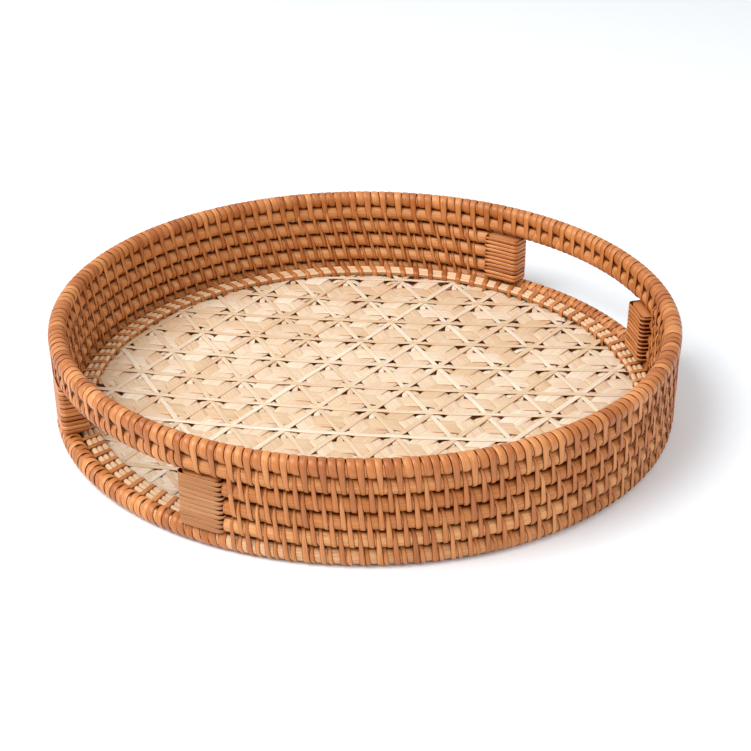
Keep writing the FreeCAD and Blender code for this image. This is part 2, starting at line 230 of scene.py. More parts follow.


# %% [markdown]
# The peel is stained a warm orange brown and lacquered, so it has a soft sheen, and painted shade darkens
# it along its edges, where the turns meet, and on its underside. The core shows the same stain, thinner and
# lighter, with painted shade at the top and bottom of each rod, in the grooves between rods. The cane of
# the floor has no stain, but painted shade turns its undersides orange brown. Fibres are drawn a third of a
# millimetre wide and more, coarser than the real ones, or they would be too fine to show.

# %% Make the materials

# Stained and lacquered rattan peel: a satin orange brown, with a dark line of painted shade where two turns
# meet, and painted shade on its underside.
peel_skin = fibre_material(
    "rattan_peel_stained", tones=[(0.2, "#AC632A"), (0.5, "#C57B3D"), (0.8, "#DC9759")],
    edge=("#8A3B0C", 0.84), fibre_mm=0.30, run_mm=14, rough=0.36, bump=0.08, fleck="#BC8253",
    crown=0.24, shine=0.5)

# Stained rattan core: the rods between the stitches, lighter than the peel, dull and grooved, with painted
# shade at the top and bottom of each rod, in the grooves between rods.
core_wood = fibre_material(
    "rattan_core_stained", tones=[(0.2, "#BE7537"), (0.5, "#D28D51"), (0.8, "#E5A86E")],
    edge=("#4A1802", 0.72), fibre_mm=0.45, run_mm=9, rough=0.5, bump=0.14, fleck="#B8804E")

# The same core where the stain hardly took: a dry straw colour, seen in one stretch of the foot, with the
# same painted shade at the top and bottom of the rod.
core_pale = fibre_material(
    "rattan_core_bare", tones=[(0.2, "#C4834C"), (0.5, "#D6A06C"), (0.8, "#EBC59C")],
    edge=("#4A1802", 0.78), fibre_mm=0.45, run_mm=9, rough=0.55, bump=0.14, fleck="#BE8C5E")

# Scraped rattan peel without lacquer: matt and even, so that one post reads as a flat tan block, with a
# thin line of painted shade where turns meet.
post_skin = fibre_material(
    "rattan_peel_matt", tones=[(0.2, "#AF7443"), (0.5, "#B87F4E"), (0.8, "#C28B5B")],
    edge=("#7A3A12", 0.95), fibre_mm=0.35, run_mm=30, rough=0.6, bump=0.05, fleck="#B48558", crown=0.06)

# Natural split cane: pale cream, with faint long fibres and some light coming through it, and painted
# shade, orange brown, on its undersides and cut sides.
cane_pale = fibre_material(
    "split_cane_natural", tones=[(0.15, "#D6B895"), (0.5, "#DFC8AC"), (0.85, "#ECDFCC")],
    edge=("#CC8A4C", 0.985), fibre_mm=0.7, run_mm=26, rough=0.5, bump=0.07, fleck="#DABF9C",
    patch_mm=30, glow=0.3)

# Natural round cane: a warmer cream with a slight polish, round the edge of the floor, with painted shade
# where the canes lie against each other and under the flat cane.
cane_edge = fibre_material(
    "round_cane_natural", tones=[(0.15, "#DDB78E"), (0.5, "#E8C8A2"), (0.85, "#F2D9B8")],
    edge=("#B0703A", 0.88), fibre_mm=0.5, run_mm=20, rough=0.42, bump=0.06, fleck="#D0A67A")

# %% [markdown]
# ## One function for every strip
# A strip is a path of centre points, and at each point it has a direction across, a direction out
# of the surface, a half width and a thickness. The section is a flat underside and a crowned top
# with soft shoulders, as a peeled strip has. A strip either closes on itself or ends in two caps.
# Numpy builds each mesh in one go, because the tray has hundreds of turns, and the two attributes
# have to follow each of them round its bends.

# %% Sections of a strip: half widths across and thicknesses up
CROWN = np.array([(-1, 0.06), (-0.86, 0.5), (-0.5, 0.88), (0, 1.0), (0.5, 0.88), (0.86, 0.5),
                  (1, 0.06), (0.9, 0.0), (-0.9, 0.0)])
FLAT = np.array([(-1, 0.25), (-0.985, 0.7), (-0.94, 0.94), (-0.5, 1.0), (0, 1.0), (0.5, 1.0),
                 (0.94, 0.94), (0.985, 0.7), (1, 0.25), (0.97, 0.0), (-0.97, 0.0)])
ROUND = np.array([(math.cos(a), math.sin(a)) for a in np.linspace(0, 2 * math.pi, 18, endpoint=False)])
UNDERSIDE = 1.2  # the underside of a strip counts as beyond its edge, so it takes the painted shade all over
CUT_END = 0.5  # a cut end counts as half-way from the middle to the edge

# %% Strips to meshes


def unit(vectors):
    """The same directions with a length of 1."""
    return vectors / np.linalg.norm(vectors, axis=-1, keepdims=True)


def strip_points(strip, section):
    """All points of a strip: its section, square to the path, at each point of the path."""
    centre = strip["centre"]
    ahead = np.roll(centre, -1, 0) - np.roll(centre, 1, 0)
    if not strip["closed"]:
        ahead[0], ahead[-1] = centre[1] - centre[0], centre[-1] - centre[-2]
    across = unit(np.cross(ahead, strip["out"]))
    out = unit(np.cross(across, ahead))
    half = np.broadcast_to(strip["half"], len(centre))[:, None, None]
    thick = np.broadcast_to(strip["thick"], len(centre))[:, None, None]
    return (centre[:, None, :] + across[:, None, :] * half * section[None, :, :1]
            + out[:, None, :] * thick * section[None, :, 1:])


def distance_across(strip, section):
    """Where each side of the section starts and ends, in millimetres across or, if round, about it."""
    if section is ROUND:
        girth = np.linalg.norm(section - np.roll(section, -1, 0), axis=1)
        width = np.concatenate([[0], np.cumsum(girth)]) * np.mean(strip["half"]) / MM
        return width[:-1], width[1:]
    mean_half = np.mean(strip["half"]) / MM
    return section[:, 0] * mean_half, np.roll(section[:, 0], -1) * mean_half


def strip_marks(strip, section, along, rows):
    """What `strip` says at the four corners of every face: across, along, and tone."""
    tones = np.broadcast_to(strip["tone"], len(strip["centre"]))
    x0, x1 = distance_across(strip, section)
    s0, s1 = along[:rows, None], along[1:rows + 1, None]
    t0, t1 = tones[:rows, None], np.roll(tones, -1)[:rows, None]
    corners = ((x0, s0, t0), (x1, s0, t0), (x1, s1, t1), (x0, s1, t1))
    shape = (rows, len(section))
    return np.stack([np.stack([np.broadcast_to(value, shape) for value in corner], -1)
                     for corner in corners], 2)


def write_mesh(name, points, loops, totals, marks, edges):
    """A mesh from flat arrays: points, each face's points and their number, and the attributes."""
    mesh = bpy.data.meshes.new(name)
    mesh.vertices.add(len(points))
    mesh.vertices.foreach_set("co", points.astype(np.float32).reshape(-1))
    mesh.loops.add(len(loops))
    mesh.loops.foreach_set("vertex_index", loops.astype(np.int32))
    mesh.polygons.add(len(totals))
    mesh.polygons.foreach_set("loop_start", (np.cumsum(totals) - totals).astype(np.int32))
    mesh.polygons.foreach_set("loop_total", totals.astype(np.int32))
    mesh.polygons.foreach_set("use_smooth", np.ones(len(totals), bool))
    mesh.update(calc_edges=True)
    strip_mark = mesh.attributes.new("strip", "FLOAT_VECTOR", "CORNER")
    strip_mark.data.foreach_set("vector", marks.astype(np.float32).reshape(-1))
    edge_mark = mesh.attributes.new("edge", "FLOAT", "CORNER")
    edge_mark.data.foreach_set("value", edges.astype(np.float32))
    return mesh


def strips_mesh(name, strips, section, material):
    """One object of many strips: dicts of centre, out, half, thick, tone, and whether it is closed."""
    points, loops, totals, marks, edges = [], [], [], [], []
    count = 0
    m = len(section)
    around = np.arange(m)
    after = (around + 1) % m
    # how far from the middle each point of the section lies, which the materials use for painted shade at
    # edges and undersides, and for the crown
    edge = np.abs(section[:, 0])
    if section[:, 1].min() >= 0:  # a strip has an underside, and a rod has none
        edge = np.where(section[:, 1] < 0.1, UNDERSIDE, edge)
    edge_at_corners = np.stack([edge, edge[after], edge[after], edge], -1).reshape(-1)
    for strip in strips:
        centre = strip["centre"]
        n = len(centre)
        rows = n if strip["closed"] else n - 1
        step = np.arange(rows)[:, None]
        here, ahead = count + step * m, count + (step + 1) % n * m
        quads = np.stack([here + around, here + after, ahead + after, ahead + around], -1)
        lengths = np.linalg.norm(np.roll(centre, -1, 0) - centre, axis=1)
        along = np.concatenate([[0], np.cumsum(lengths)]) / MM
        points.append(strip_points(strip, section).reshape(-1, 3))
        loops.append(quads.reshape(-1))
        totals.append(np.full(rows * m, 4))
        marks.append(strip_marks(strip, section, along, rows).reshape(-1, 3))
        edges.append(np.tile(edge_at_corners, rows))
        if not strip["closed"]:
            tones = np.broadcast_to(strip["tone"], n)
            for end, order in ((0, around[::-1]), (n - 1, around)):
                loops.append(count + end * m + order)
                totals.append(np.array([m]))
                marks.append(np.tile([0.0, along[end], tones[end]], (m, 1)))
                edges.append(np.full(m, CUT_END))
        count += n * m
    arrays = [np.concatenate(parts) for parts in (points, loops, totals, marks, edges)]
    mesh = write_mesh(name, *arrays)
    mesh.materials.append(material)
    mesh.validate()
    thing = bpy.data.objects.new(name, mesh)
    bpy.context.scene.collection.objects.link(thing)
    print(f"{name}: {len(strips)} strips, {len(mesh.polygons)} faces")
    return thing


def keep(thing, slot, *nodes):
    """A finished piece rides on the tray and stands for its CAD nodes, which it hides; the slot is not
    used.
    """
    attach(thing, "root")
    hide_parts(*nodes)


def around_tray(radius, height, degrees):
    """Points at these radii, heights and places round the tray."""
    angle = np.radians(degrees)
    heights = np.broadcast_to(height, angle.shape)
    return np.stack([radius * np.cos(angle), radius * np.sin(angle), heights], -1)


# %% [markdown]
# ## The rods
# A rod is steamed and bent to the circle. It is never quite true, so its path wanders by a small
# part of a millimetre. The three middle rods stop at the posts. The bottom rod is of paler core,
# and darkened by its own tone everywhere but in the stretch where the stain didn't take.

# %% Make the rods
WANDER, LIFT = 0.12 * MM, 0.10 * MM  # how far a rod strays outward and upward
POINTS_A_DEGREE = 1.2


def rod_strip(r, z, thick, first, last, tone=None):
    """A rod or round cane from one place to another, or a whole ring, with its small unevenness."""
    whole = last - first >= 360
    n = max(24, int((last - first) * POINTS_A_DEGREE))
    degrees = np.linspace(first, last, n, endpoint=not whole)
    phase = dice.uniform(0, 2 * math.pi, 4)
    turn = np.radians(degrees)
    wander = WANDER * (np.sin(7 * turn + phase[0]) + np.sin(17 * turn + phase[1]))
    lift = LIFT * (np.sin(9 * turn + phase[2]) + np.sin(23 * turn + phase[3]))
    centre = around_tray(r + wander, z, degrees)
    centre[:, 2] += lift
    out = around_tray(np.ones(n), 0.0, degrees)
    return {"centre": centre, "out": out, "half": thick, "thick": thick, "closed": whole,
            "tone": dice.random() if tone is None else tone(degrees)}


def bare_patch(degrees):
    """The bottom rod is stained everywhere but in one stretch beside a post."""
    return 0.12 + 0.75 * np.exp(-((degrees - 214) / 20) ** 2)


def make_rods():
    """Three whole rings, and three rods in two lengths each, between the hand openings."""
    single = {"rim_rod": coils[0], "coil_1_rod": coils[1], "base_rod": coils[5]}
    for name, coil in single.items():
        bottom = name == "base_rod"
        rod = rod_strip(*coil, 0, 360, bare_patch if bottom else None)
        thing = strips_mesh(name + "_bent", [rod], ROUND, core_pale if bottom else core_wood)
        keep(thing, "rattan_core", name)
    for number in (2, 3, 4):
        for wall, (first, last) in walls.items():
            name = f"coil_{number}_rod_{wall}"
            thing = strips_mesh(name + "_bent", [rod_strip(*coils[number], first, last)], ROUND, core_wood)
            keep(thing, "rattan_core", name)


make_rods()

# %% [markdown]
# ## The binding
# One long strip of peel winds round two rods at a time. On the outside it crosses down both rods,
# passes under the lower one, climbs up the inside and comes back over the upper one, a little
# further round the tray each time. Its path is a belt round two circles, walked once for each
# stitch. The strip is widest where it lies flat on a rod and narrower where it squeezes between.
#
# A hand doesn't space its loops evenly: it works tighter in one stretch and looser in the next, and
# the rows follow each other. So loops are counted off evenly first, and one function then says
# where each really lies, for every row alike.

# %% Paths round the rods

# places round the tray in degrees, and how closely the loops lie there against their average
TIGHTNESS = [(0, 1.04), (35, 0.91), (95, 1.07), (150, 0.90),
             (235, 1.14), (315, 0.87), (360, 1.04)]


def laid(counted):
    """Where loops that are counted off evenly, in degrees, really lie: tighter in some places."""
    counted = np.asarray(counted)
    place = np.arange(361)
    tight = np.interp(place, *zip(*TIGHTNESS))
    so_far = np.concatenate([[0], np.cumsum((tight[1:] + tight[:-1]) / 2)])
    turns = np.floor(counted / 360)
    return turns * 360 + np.interp(counted - turns * 360, so_far / so_far[-1] * 360, place)


def loops_within(phase, first, last, spare):
    """The evenly counted places of the loops that lie between two places round the tray."""
    counted = (np.arange(-20, TURN + 40) + phase) * step_deg
    place = laid(counted)
    return counted[(place > first + spare * step_deg) & (place < last - spare * step_deg)]


def belt(lower, upper, clearance, points):
    """Points and outward directions of a belt round two rods, starting over the upper one."""
    (x1, z1, r1), (x2, z2, r2) = lower, upper
    r1, r2 = r1 + clearance, r2 + clearance
    lean = math.atan2(z2 - z1, x2 - x1)
    opening = math.acos((r1 - r2) / math.hypot(x2 - x1, z2 - z1))
    top = np.linspace(math.pi / 2, lean - opening, points // 4)
    bottom = np.linspace(lean - opening, lean + opening - 2 * math.pi, points // 2)
    back = np.linspace(lean + opening, math.pi / 2, points // 4)
    angles = np.concatenate([top, bottom, back])
    at_low = np.repeat([False, True, False], [len(top), len(bottom), len(back)])
    x = np.where(at_low, x1 + r1 * np.cos(angles), x2 + r2 * np.cos(angles))
    z = np.where(at_low, z1 + r1 * np.sin(angles), z2 + r2 * np.sin(angles))
    turn = np.concatenate([[0], np.cumsum(np.hypot(np.diff(x), np.diff(z)))])
    return x, z, angles, turn / turn[-1]


def hoop(rod, clearance, points):
    """The same, round one rod."""
    x, z, r = rod
    angles = np.linspace(math.pi / 2, -1.5 * math.pi, points)
    share = np.linspace(0, 1, points)
    return x + (r + clearance) * np.cos(angles), z + (r + clearance) * np.sin(angles), angles, share


def wound(sections, starts, widths, advance=lambda share: share):
    """One continuous strip through a list of turns, each starting at its own place round the tray."""
    radii, heights, places, halves, outs, tones = [], [], [], [], [], []
    shades = dice.random(len(sections) + 1)
    for number, (x, z, angles, share) in enumerate(sections):
        last = number == len(sections) - 1
        part = slice(None) if last else slice(0, -1)
        place = starts[number] + advance(share) * (starts[number + 1] - starts[number])
        radii.append(x[part])
        heights.append(z[part])
        places.append(place[part])
        halves.append(widths(number, share, angles)[part])
        outs.append(angles[part])
        tones.append((shades[number] + share * (shades[number + 1] - shades[number]))[part])
    radii, heights, places = map(np.concatenate, (radii, heights, places))
    halves, outs = np.concatenate(halves), np.concatenate(outs)
    out = around_tray(np.cos(outs), 0.0, places)
    out[:, 2] = np.sin(outs)
    return {"centre": around_tray(radii, heights, places), "out": out, "half": halves,
            "thick": peel * 0.98, "closed": False, "tone": np.concatenate(tones)}


# %% [markdown]
# ## Rows of stitches between the wall rods
# Each row ties a rod to the one below, and its stitches lie nearly half-way between those of the
# row above, which gives the wall its brick pattern. A row is one strip from post to post. Where the
# count leaves a rod bare beside a post, one more stitch is put in, as a maker would.

# %% Make the stitch rows
ROW_SHIFT = 0.465  # of a stitch, from one row to the next
GAP = 0.02 * MM
END_SPARE = 0.35  # of a stitch, from the last stitch to the post
BARE = 0.42  # of a stitch, the most that stays bare beside a post


def stitch_advance(share):
    """How far round the tray a stitch has gone: little on the outside, more on the inside."""
    return np.interp(share, [0, 0.10, 0.42, 0.58, 0.92, 1], [0, 0.10, 0.26, 0.48, 0.88, 1])


def stitch_row(name, row, first, last, *nodes):
    """The stitches of one row, between two places round the tray."""
    upper, lower = coils[row], coils[row + 1]
    counted = loops_within(row * ROW_SHIFT, first, last, END_SPARE)
    starts = laid(counted + step_deg * dice.uniform(-0.07, 0.07, len(counted)))
    earliest, latest = first + END_SPARE * step_deg, last - END_SPARE * step_deg
    if abs(starts[0] - earliest) > BARE * step_deg:
        starts = np.insert(starts, 0, earliest)
    if abs(starts[-1] - latest) > BARE * step_deg:
        starts = np.append(starts, latest)
    count = len(starts) - 1
    sections = [belt(lower, upper, GAP, 40) for _ in range(count)]
    size = dice.uniform(0.9, 1.12, count)

    def widths(number, share, angles):
        half = np.interp(share, [0, 0.07, 0.15, 0.24, 0.32, 0.44, 0.55, 1],
                         [1.0, 1.1, 1.22, 1.36, 1.62, 1.62, 1.4, 1.0])
        return half * size[number] * MM

    thing = strips_mesh(name, [wound(sections, starts, widths, stitch_advance)], CROWN, peel_skin)
    keep(thing, "rattan_peel", *nodes)


for row, label in ((1, "1_2"), (2, "2_3"), (3, "3_4"), (4, "4_base")):
    for wall, (first, last) in walls.items():
        stitch_row(f"binding_{label}_{wall}", row, first, last, f"stitches_{label}_{wall}")

# %% [markdown]
# ## The rim
# On the rim the same strip lies side by side with itself. It takes one long turn, down round the
# first wall rod, and then one short turn round the rim alone, and so on round the tray. Each turn
# is as wide as its share of the rim, so that it is covered where the turns lie further apart too.

# %% Make the rim binding
NARROWED = 0.9 * MM  # how much a long turn's half width loses round the first wall rod


def make_rim():
    """The whole rim binding, which is one strip of long and short turns."""
    turns = 2 * TURN
    starts = laid(step_deg / 2 * (np.arange(turns + 1) + dice.uniform(-0.05, 0.05, turns + 1)))
    share_deg = np.gradient(laid(step_deg / 2 * np.arange(turns)))
    cover = np.radians(share_deg) * rim_r / 2  # the half width that fills each turn's share
    long_turn, short_turn = belt(coils[1], coils[0], GAP, 44), hoop(coils[0], GAP, 28)
    sections = [short_turn if number % 2 else long_turn for number in range(turns)]
    size = dice.uniform(0.95, 1.05, turns)

    def widths(number, share, angles):
        if number % 2:
            return np.full(len(share), cover[number] * size[number])
        low = np.clip(1.6 - 3.2 * np.abs(share - 0.5), 0, 1)
        return size[number] * (cover[number] - NARROWED * low)

    thing = strips_mesh("rim_binding", [wound(sections, starts, widths)], CROWN, peel_skin)
    keep(thing, "rattan_peel", "rim_stitches", "rim_wraps")


make_rim()

# %% [markdown]
# ## Wraps along the hand openings
# Where the wall is cut away, the first rod and the bottom rod would be bare between their stitches,
# so the maker covers each gap with one short wide wrap. A wrap is a hoop, tilted a little as it
# would be if it ran on to the next one.

# %% Make the opening wraps
WRAP_HALF = 2.45 * MM


def opening_wraps(name, coil, phase, side, node):
    """The hoops that cover one rod along one opening, between the stitches that are there already."""
    first, last = openings[side]
    strips = []
    beside = post_deg if node.startswith("base") else 0.0  # the bottom rod is covered under the posts too
    for counted in loops_within(phase, first - beside, last + beside, 0.2):
        x, z, angles, _ = (values[:-1] for values in hoop(coil, GAP, 33))
        tilt = 0.16 * step_deg * np.sin(angles)
        places = laid(counted + dice.uniform(-0.03, 0.03) * step_deg) - tilt
        out = around_tray(np.cos(angles), 0.0, places)
        out[:, 2] = np.sin(angles)
        strips.append({"centre": around_tray(x, z, places), "out": out,
                       "half": WRAP_HALF * dice.uniform(0.93, 1.05), "thick": peel * 0.96,
                       "closed": True, "tone": dice.random()})
    keep(strips_mesh(name, strips, CROWN, peel_skin), "rattan_peel", node)


for side in openings:
    opening_wraps(f"grip_wraps_{side}", coils[1], 0.60, side, f"coil_1_wraps_{side}")
    opening_wraps(f"sill_wraps_{side}", coils[5], 0.94, side, f"base_wraps_{side}")

# %% [markdown]
# ## Posts
# Beside each opening the cut ends of the wall rods are bundled and bound with peel. The turns lie one on
# another and follow the curve of the tray. At the wall's side each turn narrows, which leaves the ragged
# dark edge that hand binding has. One post has flat matt peel, and the other three have the same glossy
# peel as the wall.

# %% Make the posts
POST_HALF = POST_WIDTH / 2
POST_MIDDLE = 179 * MM + OUTWARD  # from the tray's axis to the middle of a post
POST_DEPTH = 8 * MM  # half the thickness through the wall
POST_TURNS = 11
CORNER_RADIUS = 2.6 * MM
post_low, post_high = base_z + wall_rod + peel, coil_1_z - wall_rod - peel


def rounded_loop(a, b, corner, points):
    """A rectangle with round corners: distances along and through the wall, and its normals."""
    along, through, normal = [], [], []
    for turn, (x, y) in enumerate(((a, b), (-a, b), (-a, -b), (a, -b))):
        angles = np.linspace(turn * math.pi / 2, (turn + 1) * math.pi / 2, points)
        along.append(x - math.copysign(corner, x) + corner * np.cos(angles))
        through.append(y - math.copysign(corner, y) + corner * np.sin(angles))
        normal.append(angles)
        if turn % 2 == 0:
            run = np.linspace(1, 0, 12)[1:-1] * 2 - 1
            sign = 1 if turn == 0 else -1
            along.append(sign * run * (a - corner))
            through.append(np.full(10, sign * b))
            normal.append(np.full(10, (turn + 1) * math.pi / 2))
    return np.concatenate(along), np.concatenate(through), np.concatenate(normal)


def post_turns(place, toward):
    """The turns of one post; toward is +1 where the opening is on the side of greater azimuth."""
    turn_height = (post_high - post_low) / POST_TURNS
    along, through, normal = rounded_loop(POST_HALF - peel, POST_DEPTH - peel, CORNER_RADIUS, 7)
    inner_side = along * toward / POST_HALF  # -1 at the wall, +1 at the opening
    strips = []
    for number in range(POST_TURNS):
        spare = 0.55 if number in (0, POST_TURNS - 1) else 1.0
        tilt = dice.uniform(-0.22, 0.22) * spare * MM
        half = turn_height / 2 * np.interp(inner_side, [-1, -0.93, -0.68, 1], [0.38, 0.50, 0.975, 0.975])
        height = post_low + (number + 0.5) * turn_height + tilt * inner_side
        places = place + np.degrees(along / POST_MIDDLE)
        angle = np.radians(places)
        out = np.stack([np.sin(normal) * np.cos(angle) - np.cos(normal) * np.sin(angle),
                        np.sin(normal) * np.sin(angle) + np.cos(normal) * np.cos(angle),
                        np.zeros(len(angle))], -1)
        strips.append({"centre": around_tray(POST_MIDDLE + through, height, places), "out": out,
                       "half": half, "thick": peel * 0.95, "closed": True, "tone": dice.random()})
    return strips


SQUARE = np.sign(ROUND) * np.abs(ROUND) ** 0.45  # a section with four soft corners


def post_block(place):
    """The bundle inside a post, seen only through the gaps of its binding."""
    heights = np.linspace(post_low + 0.3 * MM, post_high - 0.3 * MM, 12)
    places = np.full(12, place)
    return {"centre": around_tray(np.full(12, POST_MIDDLE), heights, places),
            "out": around_tray(np.ones(12), 0.0, places), "half": POST_HALF - 1.5 * MM,
            "thick": POST_DEPTH - 1.5 * MM, "closed": False, "tone": 0.1}


for place_name, place in posts.items():
    toward = 1 if place_name in ("left_back", "right_front") else -1
    matt = place_name == "left_front"
    binding = strips_mesh(f"post_binding_{place_name}", post_turns(place, toward),
                          FLAT if matt else CROWN, post_skin if matt else peel_skin)
    keep(binding, "rattan_peel", f"post_wrap_{place_name}")
    block = strips_mesh(f"post_bundle_{place_name}", [post_block(place)], SQUARE, core_wood)
    keep(block, "rattan_core", f"post_core_{place_name}")

# %% [markdown]
# ## The edge of the woven floor
# Three thin round canes lie side by side over the edge of the weave, and a flat one lies under it.
# The canes are thicker than the model's, to fill the room between the weave and the bottom rod.

# %% Make the edge canes
CANE_SWELL = 1.33  # times the model's thickness


def cane_ring(number):
    """Ring radius, height and own radius of a cane; they fill the room up to the bottom rod."""
    radius, height, thick = ring("edge_cane_inner")
    real = CANE_SWELL * thick
    return radius - thick + real * (1 + 2 * number), height + real - thick, real


def edge_canes():
    """The three round canes on top of the weave."""
    for number, name in enumerate(("inner", "middle", "outer")):
        radius, height, thick = cane_ring(number)
        strip = rod_strip(radius, height, thick, 0, 360)
        strip["out"] = np.tile([0.0, 0.0, 1.0], (len(strip["centre"]), 1))
        thing = strips_mesh(f"edge_cane_{name}_laid", [strip], ROUND, cane_edge)
        keep(thing, "edge_cane", f"edge_cane_{name}")


def under_cane():
    """The flat cane under the weave, which the lashings pull against."""
    low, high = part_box("edge_cane_under")
    inside = ring("edge_cane_inner")[0] - ring("edge_cane_inner")[2]
    degrees = np.linspace(0, 360, 360, endpoint=False)
    centre = around_tray(np.full(360, (high.x + inside) / 2), low.z, degrees)
    strip = {"centre": centre, "out": np.tile([0.0, 0.0, 1.0], (360, 1)),
             "half": (high.x - inside) / 2, "thick": high.z - low.z, "closed": True, "tone": 0.5}
    keep(strips_mesh("edge_cane_under_laid", [strip], CROWN, cane_edge), "edge_cane", "edge_cane_under")


edge_canes()
under_cane()

# %% [markdown]
# ## The lashings
# A strip of peel ties the canes and the weave to the bottom rod: over the canes, round the rod, and
# back underneath, once for each loop of the wall. It leans a quarter of a stitch over the canes.
# Along the hand openings it spreads to cover the rod, and under the wall it stays narrow. Its path
# is made of arcs and straight runs, worked out from the cane and the rod that it goes round.

# %% The path of a lashing


def lashing_path():
    """One turn of a lashing, from the middle of its underside: distances, heights and normals."""
    cane_r, cane_z, cane = cane_ring(0)
    tight = cane + GAP
    top = cane_z + tight
    rod = wall_rod + GAP
    meet = math.pi - math.asin((top - base_z) / rod)
    floor_z = base_z - rod
    pieces = []

    def arc(x, z, r, start, end, count):
        """Adds points of a round stretch."""
        angles = np.linspace(start, end, count)
        pieces.append(np.stack([x + r * np.cos(angles), z + r * np.sin(angles), angles], -1))

    def run(x0, z0, x1, z1, normal, count):
        """Adds points of a straight stretch, without its ends."""
        steps = np.linspace(0, 1, count + 2)[1:-1]
        x, z = x0 + (x1 - x0) * steps, z0 + (z1 - z0) * steps
        pieces.append(np.stack([x, z, np.full(count, normal)], -1))

    middle = (cane_r + wall_r) / 2
    pieces.append(np.array([[middle, floor_z, -math.pi / 2]]))
    run(middle, floor_z, cane_r, floor_z, -math.pi / 2, 3)
    arc(cane_r, floor_z + tight, tight, -math.pi / 2, -math.pi, 6)
    run(cane_r - tight, floor_z + tight, cane_r - tight, cane_z, -math.pi, 3)
    arc(cane_r, cane_z, tight, math.pi, math.pi / 2, 7)
    run(cane_r, top, wall_r + rod * math.cos(meet), top, math.pi / 2, 9)
    arc(wall_r, base_z, rod, meet, -math.pi / 2, 26)
    run(wall_r, floor_z, middle, floor_z, -math.pi / 2, 3)
    pieces.append(np.array([[middle, floor_z, -math.pi / 2]]))
    x, z, angles = np.concatenate(pieces).T
    angles = np.where(angles < -math.pi / 2 - 1e-6, angles + 2 * math.pi, angles)
    turn = np.concatenate([[0], np.cumsum(np.hypot(np.diff(x), np.diff(z)))])
    return x, z, angles, turn / turn[-1]


# %% Make the lashings
LASH_MARKS = [0, 0.13, 0.28, 0.48, 0.62, 0.82, 1]  # start, corner, top, rod, outside, bottom, end
LASH_SHIFT = -0.26  # of a stitch, which sets the lashings between the stitches on the bottom rod
OPEN_HALF, WALL_HALF = 2.4, 1.3  # millimetres of half width on the rod's outside


def lashing_advance(share):
    """How far round the tray a lashing has gone at each share of its turn."""
    return np.interp(share, LASH_MARKS, [0, 0.06, 0.14, 0.42, 0.64, 0.80, 1])


def make_lashings():
    """All lashings, which are one strip that winds on round the tray."""
    starts = laid(step_deg * (LASH_SHIFT + np.arange(TURN + 1) + dice.uniform(-0.05, 0.05, TURN + 1)))
    starts[-1] = starts[0] + 360
    size = dice.uniform(0.92, 1.1, TURN)
    in_opening = [any(first - post_deg < a % 360 + turn < last + post_deg
                      for first, last in openings.values() for turn in (0, -360)) for a in starts]
    section = lashing_path()

    def widths(number, share, angles):
        outside = OPEN_HALF if in_opening[number] else WALL_HALF
        halves = [1.5, 1.75, 1.8, 1.9, outside, outside, 1.5]
        return MM * size[number] * np.interp(share, LASH_MARKS, halves)

    strip = wound([section] * TURN, starts, widths, lashing_advance)
    keep(strips_mesh("edge_lashing", [strip], CROWN, peel_skin), "rattan_peel", "panel_lashings")


make_lashings()

# %% [markdown]
# ## The woven floor
# The floor is open hexagon weave. Three sets of wide strips run sixty degrees apart, each over the
# second set and under the third, so that the sheet locks. Two sets of narrow strips for each
# direction cross in the holes and make the stars: one along the rows of holes, over everything, and
# one across them, which dips under the wide strips. The height of each strip is a formula of how
# far it is from the strips it crosses.

# %% Sizes of the weave
ROW = 30.2 * MM  # between two rows of stars at the centre, before the bow
WEAVE_TURN = -43.15  # degrees, direction of the first set
STAR = np.array([-7.7, 4.5]) * MM  # one star's place
WEAVE_EDGE = 175.2 * MM  # where the strips are cut, under the canes
REACH, STEP = 215, 1.3  # millimetres: further than any strip goes, and between two of its points
WIDE_HALF, NARROW_HALF, CROSS_HALF = 6.35 * MM, 1.75 * MM, 1.9 * MM
WIDE_THICK, NARROW_THICK = 0.8 * MM, 0.3 * MM
BOW_X, BOW_Y, BOW_XY = 6.3 * MM, 4.7 * MM, 2.8 * MM  # how far the rows bow at 100 mm from the centre
# half-way through the model's layers of strips
weave_z = (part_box("wide_strips_a")[0].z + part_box("cross_strips_c")[1].z) / 2


def direction(number):
    """The way one of the three sets runs."""
    angle = math.radians(WEAVE_TURN + 60 * number)
    return np.array([math.cos(angle), math.sin(angle)])


def phase_of(points, number):
    """How many rows a point is from the wide strips of one set; whole numbers lie on a strip."""
    along = direction(number)
    normal = np.array([-along[1], along[0]])
    return (points - STAR) @ normal / ROW - 0.5


def square_wave(phase):
    """Near +1 close to whole numbers, near -1 half-way between, with a soft change."""
    return np.tanh(4.0 * np.cos(2 * math.pi * phase))


def nearness(phase, full, none):
    """1 within `full` rows of a whole number, easing to 0 at `none` rows from it."""
    away = np.abs(phase - np.round(phase))
    share = np.clip((none - away) / (none - full), 0, 1)
    return share ** 2 * (3 - 2 * share)


# %% [markdown]
# ## One strip of cane
# A split strip is even in thickness, a little uneven in width, and never laid quite straight, so
# each one wanders slowly from side to side. The whole sheet is also pulled out of true as it is
# woven, and its rows bow. Heights come from where a strip would lie in a true sheet, and the bow
# is added after, so that every strip still goes over and under its neighbours in the right places.

# %% Strips of the weave


def bowed(points):
    """Where points of a true sheet lie in this one, which bows more the further out they are."""
    x, y = (points / (100 * MM)).T
    return points + np.column_stack([BOW_X * x * x, BOW_Y * y * y + BOW_XY * x * y])


